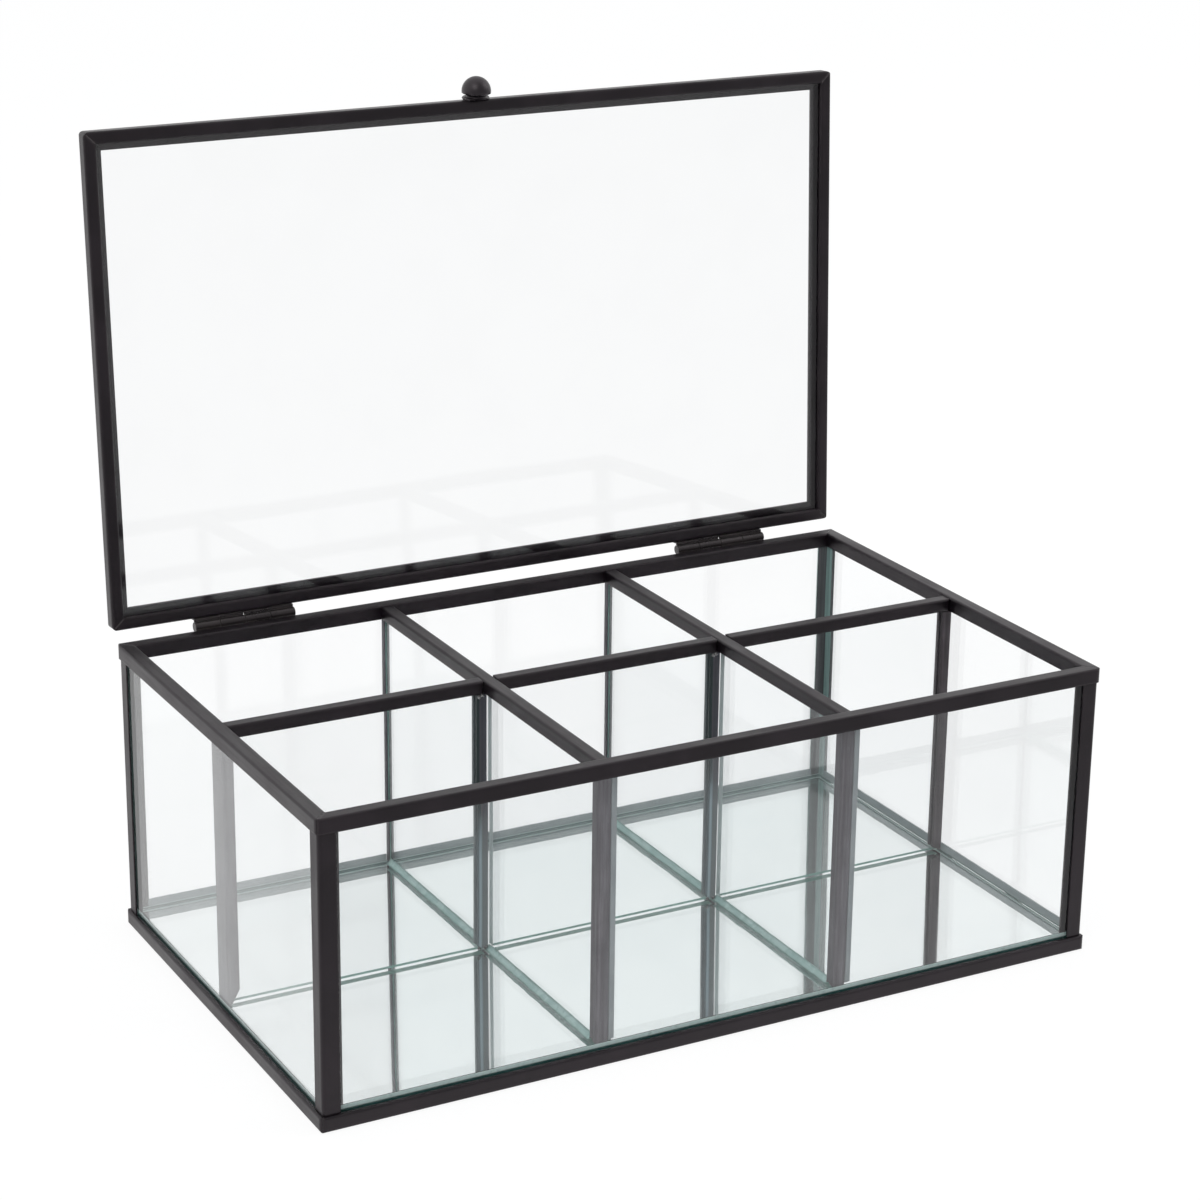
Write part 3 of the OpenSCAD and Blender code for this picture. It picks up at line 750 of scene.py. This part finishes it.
# the uneven solder round the knob's foot, on the lid's free edge
RING_TURNS, RING_SIDES = 56, 8
RING_R, RING_THICK, RING_H = 3.30, 0.66, 0.50
rng = random.Random(5)
radii = [RING_R + 0.25 * math.sin(3 * 2 * math.pi * k / RING_TURNS + 0.7) + rng.uniform(-0.07, 0.07)
         for k in range(RING_TURNS)]
thick = [RING_THICK + 0.12 * math.sin(2 * 2 * math.pi * k / RING_TURNS) + rng.uniform(-0.03, 0.03)
         for k in range(RING_TURNS)]
bm = bmesh.new()
rings = []
for k in range(RING_TURNS):
    g = 2 * math.pi * k / RING_TURNS
    d = Vector((math.cos(g), math.sin(g) * math.cos(KNOB_TILT), math.sin(g) * math.sin(KNOB_TILT)))
    c = Vector((foot_x, foot_y, foot_z + RING_H)) + d * radii[k]
    rings.append(ring_of(bm, [
        clear_of_rim(c + d * math.cos(2 * math.pi * j / RING_SIDES) * thick[k] * 1.25
                     + axis_up * math.sin(2 * math.pi * j / RING_SIDES) * thick[k] * 0.8)
        for j in range(RING_SIDES)]))
skin(bm, rings, caps=False)
piece("solder_ring_knob", bm, [knob_metal], "lid")


# ---------------------------------------------------------------- camera, light, floor

# The photo's camera: angles in degrees, the point (0, 0, AIM_Z) at (SIDE, DOWN, DISTANCE) from it
# in millimetres, and its focal length in pixels of the 1200 pixel frame
AZIMUTH, ELEVATION, ROLL = -28.601, 19.292, 0.749
AIM_Z = 40
SIDE, DOWN, DISTANCE = 1.343, 60.105, 896.807
FOCAL_PX, FRAME_PX, SENSOR = 3116.9, 1200.0, 36.0


def camera_matrix():
    a, e, r = (math.radians(v) for v in (AZIMUTH, ELEVATION, ROLL))
    back = Vector((math.sin(a) * math.cos(e), -math.cos(a) * math.cos(e), math.sin(e)))
    right = Vector((math.cos(a), math.sin(a), 0))
    down = -back.cross(right)
    c, s = math.cos(r), math.sin(r)
    image_x = right * c - down * s
    image_y = right * s + down * c
    ahead = -back
    m = Matrix((image_x, -image_y, -ahead)).transposed().to_4x4()
    offset = image_x * SIDE + image_y * DOWN + ahead * DISTANCE
    m.translation = (Vector((0, 0, AIM_Z)) - offset) * MM
    return m


cam = bpy.data.cameras.new("camera")
cam.sensor_width = SENSOR
cam.sensor_fit = "HORIZONTAL"
cam.lens = FOCAL_PX * SENSOR / FRAME_PX
cam.clip_start = 0.01
cam.clip_end = 60.0
camera = bpy.data.objects.new("camera", cam)
camera.matrix_world = camera_matrix()
bpy.context.scene.collection.objects.link(camera)
bpy.context.scene.camera = camera


def seen(t):
    """1 for the rays that show the background: from the camera, off metal and through glass."""
    path = t.add("ShaderNodeLightPath").outputs
    return t.math("MAXIMUM", t.math("MAXIMUM", path["Is Camera Ray"], path["Is Glossy Ray"]),
                  path["Is Transmission Ray"])


REFLECTED_DIM = 0.42


def dimmed_front(t, value, a, b):
    """REFLECTED_DIM where value is under a and 1 where it is over b, for what metal and glass
    reflect. 1 everywhere for the other rays."""
    path = t.add("ShaderNodeLightPath")
    reflected = t.math("GREATER_THAN", path.outputs["Glossy Depth"], 0.5)
    dim = t.span(value, a, b, 1.0 - REFLECTED_DIM, 0.0)
    return t.math("SUBTRACT", 1.0, t.math("MULTIPLY", reflected, dim))


# the floor lights the object as a pale grey one, and shows white with the object's shadow
FLOOR_SHARE = 0.16
FLOOR_LIT = 0.68
floor_mat, t = new_material("floor_pale")
soft = t.add("ShaderNodeBsdfDiffuse")
soft.inputs["Color"].default_value = rgb(0.86, 0.86, 0.87)
share = t.add("ShaderNodeBsdfDiffuse")
share.inputs["Color"].default_value = rgb(FLOOR_SHARE, FLOOR_SHARE, FLOOR_SHARE)
glow = t.add("ShaderNodeEmission")
glow.inputs["Color"].default_value = rgb(1, 1, 1)
place = t.split(t.add("ShaderNodeNewGeometry").outputs["Position"])
t.put(glow.inputs["Strength"], t.math("MULTIPLY", dimmed_front(t, place["Y"], -0.30, 0.02),
                                      1.0 - FLOOR_SHARE * FLOOR_LIT))
both = t.add("ShaderNodeAddShader")
t.put(both.inputs[0], share.outputs[0])
t.put(both.inputs[1], glow.outputs[0])
t.finish(t.mix_shader(seen(t), soft.outputs[0], both.outputs[0]))

bm = bmesh.new()
bmesh.ops.create_circle(bm, cap_ends=True, segments=96, radius=7.0)
me = bpy.data.meshes.new("floor")
bm.to_mesh(me)
bm.free()
me.materials.append(floor_mat)
floor = bpy.data.objects.new("floor", me)
floor.location = (0, 0, -0.0002)
bpy.context.scene.collection.objects.link(floor)

world = bpy.data.worlds.new("studio")
bpy.context.scene.world = world
t = Tree(world, "ShaderNodeOutputWorld")
lighting = t.add("ShaderNodeBackground")
lighting.inputs["Color"].default_value = rgb(0.97, 0.985, 1.0)
lighting.inputs["Strength"].default_value = 0.62
backdrop = t.add("ShaderNodeBackground")
backdrop.inputs["Color"].default_value = rgb(1, 1, 1)
way = t.split(t.add("ShaderNodeTexCoord").outputs["Generated"])
t.put(backdrop.inputs["Strength"], dimmed_front(t, way["Y"], -0.6, 0.05))
t.finish(t.mix_shader(seen(t), lighting.outputs[0], backdrop.outputs[0]))

AIM = Vector((0, 0, 0.05))
for name, place, size, power in (("key_light", (-1.1, -1.2, 1.7), 1.3, 11.0),
                                 ("fill_light", (1.6, -0.6, 1.2), 1.2, 5.0)):
    light = bpy.data.lights.new(name, "AREA")
    light.shape = "RECTANGLE"
    light.size = light.size_y = size
    light.energy = power
    o = bpy.data.objects.new(name, light)
    o.location = place
    o.rotation_euler = (AIM - Vector(place)).to_track_quat("-Z", "Y").to_euler()
    bpy.context.scene.collection.objects.link(o)

bpy.context.scene.view_settings.view_transform = "Standard"
